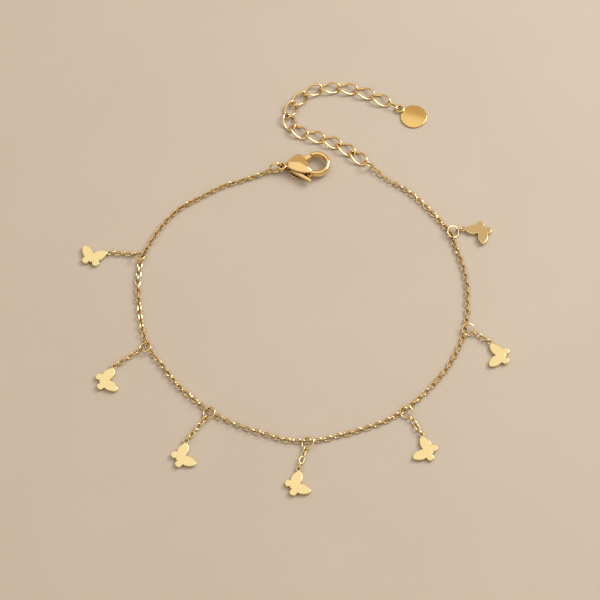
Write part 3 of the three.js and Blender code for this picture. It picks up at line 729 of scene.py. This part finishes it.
# ---------------------------------------------------------------- clasp
def raw_object(name, part):
    """A mesh object in the clasp's own plan, one unit to a millimetre, for joining."""
    points, faces = part
    mesh = bpy.data.meshes.new(name)
    mesh.from_pydata(np.asarray(points).tolist(), [], faces)
    mesh.update()
    tidy_normals(mesh)
    obj = bpy.data.objects.new(name, mesh)
    bpy.context.scene.collection.objects.link(obj)
    return obj


def result_of(obj, modifiers):
    """The mesh after some modifiers, as a part."""
    for kind, settings in modifiers:
        modifier = obj.modifiers.new(kind, kind)
        for key, value in settings.items():
            setattr(modifier, key, value)
    bpy.context.view_layer.update()
    mesh = obj.evaluated_get(bpy.context.evaluated_depsgraph_get()).to_mesh()
    points = np.array([v.co for v in mesh.vertices])
    faces = [list(p.vertices) for p in mesh.polygons]
    return points, faces


def combine(base, steps):
    """Join and cut parts in order, as solids."""
    obj = raw_object("work", base)
    others = []
    modifiers = []
    for operation, part in steps:
        other = raw_object("tool", part)
        others.append(other)
        settings = {"operation": operation, "solver": "EXACT", "object": other}
        modifiers.append(("BOOLEAN", settings))
    part = result_of(obj, modifiers)
    for used in [obj, *others]:
        bpy.data.objects.remove(used)
    return part


def softened(part, voxel, rounds, keep):
    """The same solid with its edges rounded over, as cast and polished metal is."""
    obj = raw_object("work", part)
    modifiers = [
        ("REMESH", {"mode": "VOXEL", "voxel_size": voxel}),
        ("SMOOTH", {"factor": 0.5, "iterations": rounds}),
        ("DECIMATE", {"ratio": keep}),
    ]
    found = result_of(obj, modifiers)
    bpy.data.objects.remove(obj)
    return found


def cylinder(radius, height, x, y, steps=64):
    return lathe([(radius, -height / 2), (radius, height / 2)], steps, vec(x, y))


def clasp_outline():
    reach, half = CLASP["from"], CLASP["width"] / 2
    here = (-0.97 * reach, 0.24 * half)
    outline = [here]
    for row in CLASP_OUTLINE:
        ends = [here] + [(x * reach, y * half) for x, y in row]
        outline += bezier(ends, 22 if len(row) > 1 else 4)
        here = ends[-1]
    return spread_out(outline, 0.02)


def cheek_edge(point, level):
    """The near edge draws back over the lever on the top cheek, most near the eyelet."""
    x, y = point
    if y >= 0:
        return point
    upper = min(max((level + 0.1) / 0.5, 0), 1)
    back = min(max((-x - 1.5) / 5, 0), 1)
    return np.array([x, y * (1.06 - upper * (0.12 + 0.34 * back))])


def clasp_drop():
    """The body as a leaf whose outline draws in to a low dome at its top and bottom."""
    outline = [np.array(p) for p in clasp_outline()]
    middle = np.array([-CLASP["widest"], -0.1])
    half = CLASP["thickness"] / 2
    rows = [(share, -height) for share, height in CLASP_DOME]
    rows += [(share, height) for share, height in reversed(CLASP_DOME)]
    points = []
    for share, height in rows:
        for p in outline:
            x, y = middle + (cheek_edge(p, height) - middle) * share
            points.append((x, y, half * height))
    return stacked(points, len(outline))


def clasp_hook():
    """A bar of oval section, bent round the mouth, with blunt rounded ends."""
    r = (CLASP["hook"] + CLASP["hole"]) / 2
    wide, tall = (CLASP["hook"] - CLASP["hole"]) / 2, CLASP["hook_height"] / 2
    steps, sides = 72, 32
    rows = [(CLASP["tip"] - 0.2, 0.8), (CLASP["tip"] - 0.8, 0.92)]
    rows += [(CLASP["tip"] - 2.5 + (CLASP["heel"] - CLASP["tip"] + 2.5) * k / steps, 1.0)
             for k in range(steps + 1)]
    points, faces = [], []
    for angle, share in rows:
        out = toward(angle)
        for j in range(sides):
            a = 2 * math.pi * j / sides
            ring = out * (r + wide * share * power(math.cos(a), 0.85))
            points.append(ring + UP * (tall * share * power(math.sin(a), 0.85)))
    for i in range(len(rows) - 1):
        for j in range(sides):
            n = (j + 1) % sides
            faces.append([i * sides + j, (i + 1) * sides + j, (i + 1) * sides + n, i * sides + n])
    faces.append(list(range(sides)))
    faces.append([(len(rows) - 1) * sides + j for j in reversed(range(sides))])
    return np.array(points), faces


def clasp_eyelet():
    swell, rise = CLASP_EYELET_SWELL
    outer, inner = CLASP["eyelet"] / 2 + swell, CLASP["eyelet_hole"] / 2
    half, soft = CLASP["eyelet_height"] / 2 + rise, 0.12
    profile = [
        (inner, -half + soft), (inner + soft, -half), (outer - soft, -half),
        (outer, -half + soft), (outer, half - soft), (outer - soft, half),
        (inner + soft, half), (inner, half - soft),
    ]
    steps, rows = 48, len(profile)
    points, faces = [], []
    for radius, z in profile:
        for k in range(steps):
            points.append(toward(360 * k / steps) * radius + vec(-CLASP["eyelet_from"], 0, z))
    for level in range(rows):
        for k in range(steps):
            n, up = (k + 1) % steps, (level + 1) % rows
            faces.append([level * steps + k, level * steps + n, up * steps + n, up * steps + k])
    return np.array(points), faces


def bar_corners(start, end, start_half, end_half):
    ahead = unit(end - start)
    side = np.cross(UP, ahead)
    corners = []
    for point, half, way in ((start, start_half, -1), (end, end_half, 1)):
        nose = point + ahead * (half * way)
        corners += [point + side * half * 0.95, nose + side * half * 0.4,
                    nose - side * half * 0.4, point - side * half * 0.95]
    return corners


def lever_arms(grow):
    """Corners in plan of the gate and of the thumb arm's two bars."""
    hub, heel, tab = vec(*LEVER["pivot"]), vec(*LEVER["heel"]), vec(*LEVER["tab"])
    mouth = toward(CLASP["tip"] + LEVER["tip_gap"] - math.degrees(grow / CLASP["hook"]))
    outer = mouth * (CLASP["hook"] - LEVER["inset"])
    inner = mouth * (CLASP["hole"] + LEVER["inset"] / 2)
    gate = [hub + vec(0, LEVER["hub"] + grow), outer + vec(0, grow), inner + vec(grow, -grow),
            hub - vec(0, LEVER["hub"] + grow)]
    half = LEVER["arm"] / 2 + grow
    web = [hub + vec(0, LEVER["hub"] + grow), hub + vec(LEVER["hub"] + grow, 0), heel,
           heel + unit(tab - heel) * 3]
    return [gate, web, bar_corners(heel, tab, half, half * LEVER["taper"])]


def convex_plate(points, thickness):
    work = bmesh.new()
    for z in (thickness / 2, -thickness / 2):
        for p in points:
            work.verts.new((p[0], p[1], z))
    hull = bmesh.ops.convex_hull(work, input=work.verts)
    inside = set(hull["geom_interior"]) | set(hull["geom_unused"])
    spare = [e for e in inside if isinstance(e, bmesh.types.BMVert)]
    bmesh.ops.delete(work, geom=spare, context="VERTS")
    bmesh.ops.dissolve_limit(work, angle_limit=0.01, verts=work.verts, edges=work.edges)
    work.verts.index_update()
    points = np.array([v.co for v in work.verts])
    faces = [[v.index for v in f.verts] for f in work.faces]
    work.free()
    return points, faces


def turned(point, degrees):
    hub = vec(*LEVER["pivot"])
    a = math.radians(degrees)
    x, y = (point - hub)[:2]
    return hub + vec(x * math.cos(a) - y * math.sin(a), x * math.sin(a) + y * math.cos(a))


def lever_room():
    height = LEVER["thickness"] + 2 * LEVER["gap"]
    hub = LEVER["pivot"]
    rooms = [cylinder(LEVER["hub"] + LEVER["gap"], height, *hub)]
    for arm in lever_arms(LEVER["gap"]):
        swept = [turned(p, -LEVER["opening"] * s) for s in (0, 0.25, 0.5, 0.75, 1) for p in arm]
        rooms.append(convex_plate(swept, height))
    slot = [vec(*p) for p in LEVER["slot"]]
    points, faces = convex_plate(slot, height + LEVER["slot_below"])
    rooms.append((points - UP * (LEVER["slot_below"] / 2), faces))
    return rooms


def to_clasp_place(part):
    middle = HOOK_PLACE + UP * (CLASP["thickness"] / 2)
    return placed(part, middle, toward(CLASP["heading"]), UP)


def clasp_body():
    through = 2 * CLASP["thickness"]
    steps = [
        ("DIFFERENCE", cylinder(CLASP["hole"], through, 0, 0, 96)),
        ("UNION", clasp_hook()),
        ("DIFFERENCE", cylinder(CLASP["eyelet_hole"] / 2, through, -CLASP["eyelet_from"], 0)),
        ("UNION", clasp_eyelet()),
    ]
    steps += [("DIFFERENCE", room) for room in lever_room()]
    bore = cylinder(RIVET["diameter"] / 2 + 0.01, through, *LEVER["pivot"])
    steps.append(("DIFFERENCE", (bore[0] - UP * (through / 2 - RIVET["top"]), bore[1])))
    return softened(combine(clasp_drop(), steps), 0.04, 4, 0.3)


def clasp_lever():
    thick = LEVER["thickness"]
    steps = [("UNION", convex_plate(arm, thick)) for arm in lever_arms(0)]
    base = cylinder(LEVER["hub"], thick, *LEVER["pivot"])
    return softened(combine(base, steps), 0.035, 4, 0.4)


def clasp_rivet():
    """The lever's pin: set in from below, so only its lower head shows."""
    r, low = RIVET["diameter"] / 2, -CLASP["thickness"] / 2 * 0.95
    profile = [(0.02, low), (r * 0.6, low + 0.02), (r * 0.9, low + 0.07), (r, low + 0.16)]
    profile += [(r, RIVET["top"] - 0.05), (0.02, RIVET["top"] - 0.05)]
    return lathe(profile, 40, vec(*LEVER["pivot"]))


# ---------------------------------------------------------------- assembly
def build_clasp():
    gold_slot = (CLASP_GOLD, "clasp_gold")
    show("clasp_casting", to_clasp_place(clasp_body()), "clasp_body", *gold_slot, ROOT, 50)
    show("clasp_gate", to_clasp_place(clasp_lever()), "clasp_lever", *gold_slot, LEVER_BODY, 50)
    show("clasp_pin", to_clasp_place(clasp_rivet()), "clasp_rivet", *gold_slot)


def build_chain():
    chain = (CHAIN_GOLD, "chain_gold")
    clasp_ring, extender_ring = clasp_ring_frame(), extender_ring_frame()
    show("clasp_jump_ring", ring_part(clasp_ring, CLASP_RING), "clasp_ring", *chain)
    show("extender_jump_ring", ring_part(extender_ring, EXTENDER_RING), "extender_ring", *chain)
    start = link_on(clasp_ring, math.radians(CHAIN_LEAVES_RING), toward(CHAIN_START_HEADING),
                    CLASP_RING["wire"])
    end = link_on(extender_ring, 0, toward(CHAIN_END_HEADING + 180), EXTENDER_RING["wire"])
    route = [vec(x, y, LINK["width"] / 2) for x, y in CHAIN_ROUTE]
    line = Route([start[0], *route, end[0]])
    rings = [drop_ring_frame(line, drop) for drop in DROPS]
    stations = [(0, *start)]
    for ring in rings:
        at = ring["threaded_at"]
        stations.append((at, ring["threaded"], line.tangent(at), ring["threaded_hole"]))
    stations.append((1, *end))
    show("main_chain_links", chain_links(line, stations), "main_chain", *chain)
    for k, (ring, drop) in enumerate(zip(rings, DROPS), 1):
        show(f"jump_ring_{k}", ring_part(ring, DROP_RING), f"drop_ring_{k}", *chain)
        links, eyelet_wire, heading = drop_links(ring, drop)
        show(f"drop_links_{k}", links, f"drop_chain_{k}", *chain)
        charm = butterfly(drop, eyelet_wire, heading, CHARM_LEAN[k - 1])
        show(f"charm_{k}", charm, f"butterfly_{k}", CHARM_GOLD, "charm_gold", ROOT, 30)


def build_extender():
    loop = curb_loop(dict(CURB, wire=CURB["wire"] + RING_SWELL))
    for k, centre in enumerate(CURBS):
        part = placed(loop, centre, curb_heading(k), UP)
        show(f"curb_{k + 1:02d}", part, f"extender_link_{k + 1:02d}", CHAIN_GOLD, "chain_gold")
    link, tag = tag_parts()
    show("tag_oval", link, "tag_link", CHAIN_GOLD, "chain_gold")
    show("end_tag", tag, "tag", TAG_GOLD, "tag_gold", ROOT, 30)


# ---------------------------------------------------------------- studio
# Where the overhead screen ends: its slant, its height share and its softness.
# Past it the room shows, and the screen's colours run from the horizon up.
SCREEN_EDGE = (0.4, 0.654, 0.012)
ROOM = (0.64, 0.48, 0.36, 1)
SKY_STOPS = [
    (0.0, (0.06, 0.035, 0.015, 1)),
    (0.35, (0.24, 0.19, 0.14, 1)),
    (0.7, (0.99, 0.895, 0.8, 1)),
    (1.0, (1.06, 0.96, 0.86, 1)),
]


def area_light(name, place, size, power_w, colour, aim=(0, 0, 0)):
    data = bpy.data.lights.new(name, "AREA")
    data.shape = "DISK"
    data.size = size
    data.energy = power_w
    data.color = colour
    obj = bpy.data.objects.new(name, data)
    obj.location = place
    obj.rotation_euler = (Vector(aim) - Vector(place)).to_track_quat("-Z", "Y").to_euler()
    bpy.context.scene.collection.objects.link(obj)
    return obj


def build_studio():
    size = 3.0
    floor = bpy.data.meshes.new("floor")
    floor.from_pydata([(-size, -size, 0), (size, -size, 0), (size, size, 0), (-size, size, 0)],
                      [], [[0, 1, 2, 3]])
    ground = bpy.data.objects.new("floor", floor)
    ground.data.materials.append(paper())
    bpy.context.scene.collection.objects.link(ground)
    area_light("key", (0.39, 0.24, 0.43), 0.36, 2.6, (0.96, 1.0, 1.04))
    build_sky()


def build_sky():
    """A pale overhead screen that ends behind the anklet, above a darker room."""
    world = bpy.data.worlds.new("studio")
    bpy.context.scene.world = world
    world.use_nodes = True
    tree = world.node_tree
    place = tree.nodes.new("ShaderNodeTexCoord")
    split = tree.nodes.new("ShaderNodeSeparateXYZ")
    tree.links.new(place.outputs["Generated"], split.inputs["Vector"])
    x, y, z = split.outputs
    across = math_node(tree, "MULTIPLY_ADD", x, SCREEN_EDGE[0], y)
    past = math_node(tree, "MULTIPLY_ADD", z, -SCREEN_EDGE[1], across)
    screen = node_of(tree, "ShaderNodeMapRange")
    screen.interpolation_type = "SMOOTHSTEP"
    tree.links.new(past, screen.inputs["Value"])
    span = {"From Min": -SCREEN_EDGE[2], "From Max": SCREEN_EDGE[2], "To Min": 1, "To Max": 0}
    for key, number in span.items():
        screen.inputs[key].default_value = number
    ramp = tree.nodes.new("ShaderNodeValToRGB")
    stops = ramp.color_ramp.elements
    stops[0].position, stops[0].color = SKY_STOPS[0]
    stops[1].position, stops[1].color = SKY_STOPS[-1]
    for position, colour in SKY_STOPS[1:-1]:
        stops.new(position).color = colour
    tree.links.new(z, ramp.inputs["Fac"])
    light = blended(tree, screen.outputs["Result"], ROOM, ramp.outputs["Color"])
    tree.links.new(light, tree.nodes["Background"].inputs["Color"])
    tree.nodes["Background"].inputs["Strength"].default_value = 1.0


def build_camera():
    """Looks down at 62 degrees from the front, at the middle of the anklet's plan."""
    elevation, distance = math.radians(62), 0.5675
    target = Vector((SHIFT[0] * MM, SHIFT[1] * MM, SHIFT[2] * MM))
    data = bpy.data.cameras.new("camera")
    data.lens = 150
    data.sensor_width = 36
    obj = bpy.data.objects.new("camera", data)
    back = Vector((0, -math.cos(elevation), math.sin(elevation)))
    obj.location = target + back * distance
    obj.rotation_euler = (-back).to_track_quat("-Z", "Y").to_euler()
    bpy.context.scene.collection.objects.link(obj)
    bpy.context.scene.camera = obj


build_clasp()
build_chain()
build_extender()
build_studio()
build_camera()
bpy.context.scene.view_settings.view_transform = "Standard"
